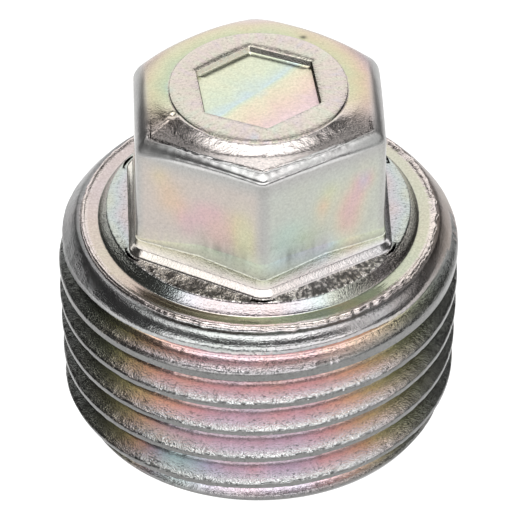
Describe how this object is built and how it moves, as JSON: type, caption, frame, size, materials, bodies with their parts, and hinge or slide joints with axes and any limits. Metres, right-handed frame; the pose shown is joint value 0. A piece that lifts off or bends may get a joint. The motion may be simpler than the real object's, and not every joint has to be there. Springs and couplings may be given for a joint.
{
  "type": "screw plug",
  "caption": "Taper screw plug: a hexagon head with a raised round face stands on a stepped collar above a short shank with a tapered pipe thread.",
  "frame": {"origin": "centre of the plug's bottom face, on the thread axis", "axes": "+Z along the thread axis from the bottom face to the head, -Y towards the corner of the hexagon head that faces the camera in the picture"},
  "size_m": [0.0202, 0.0202, 0.0193],
  "materials": {
    "plated_steel": "bright zinc plating with a pale iridescent chromate film, satin to glossy"
  },
  "bodies": {
    "root": {"screw_plug": "plated_steel"}
  },
  "joints": []
}
